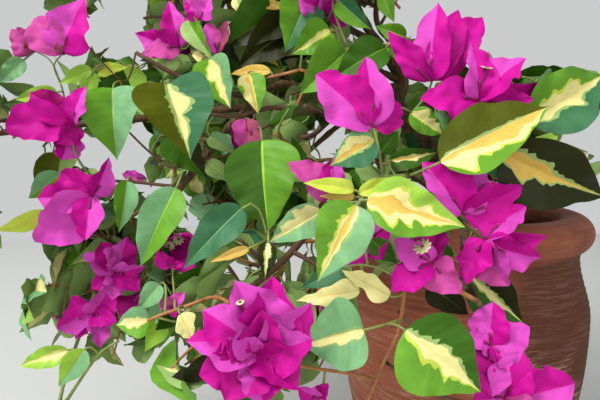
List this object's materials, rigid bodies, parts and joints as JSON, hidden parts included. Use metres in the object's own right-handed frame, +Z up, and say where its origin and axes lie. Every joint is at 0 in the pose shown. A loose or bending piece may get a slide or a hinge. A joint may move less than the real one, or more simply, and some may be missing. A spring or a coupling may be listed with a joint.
{
  "type": "bougainvillea bush in a clay pot",
  "caption": "Bougainvillea bush with magenta bracts and green and cream leaves, leaning over one side of a round clay pot filled with soil.",
  "frame": {"origin": "middle of the pot's flat underside", "axes": "+Z up; -Y is the side that the crown is seen from; the crown leans towards -X"},
  "size_m": [0.6594, 0.5271, 0.7079],
  "materials": {
    "clay": "matte",
    "soil": "matte",
    "bark": "matte",
    "foliage": "satin"
  },
  "bodies": {
    "root": {"pot": "clay", "soil": "soil", "trunk": "bark", "bough_top": "bark", "bough_left_tip": "bark", "bough_centre": "bark", "bough_back": "bark", "bough_front": "bark", "bough_right": "bark", "bough_back_right": "bark", "bough_front_left": "bark", "bough_high_front": "bark", "bough_left_high": "bark", "bough_left_middle": "bark", "bough_left_low": "bark", "bough_back_left": "bark", "bough_back_low": "bark", "foliage_front": "foliage", "foliage_front_left": "foliage", "foliage_centre": "foliage", "foliage_right": "foliage", "foliage_high_front": "foliage", "foliage_left_middle": "foliage", "foliage_left_tip": "foliage", "foliage_left_low": "foliage", "foliage_left_high": "foliage", "foliage_top": "foliage", "foliage_back": "foliage", "foliage_back_left": "foliage", "foliage_back_low": "foliage", "foliage_back_right": "foliage"}
  },
  "joints": []
}
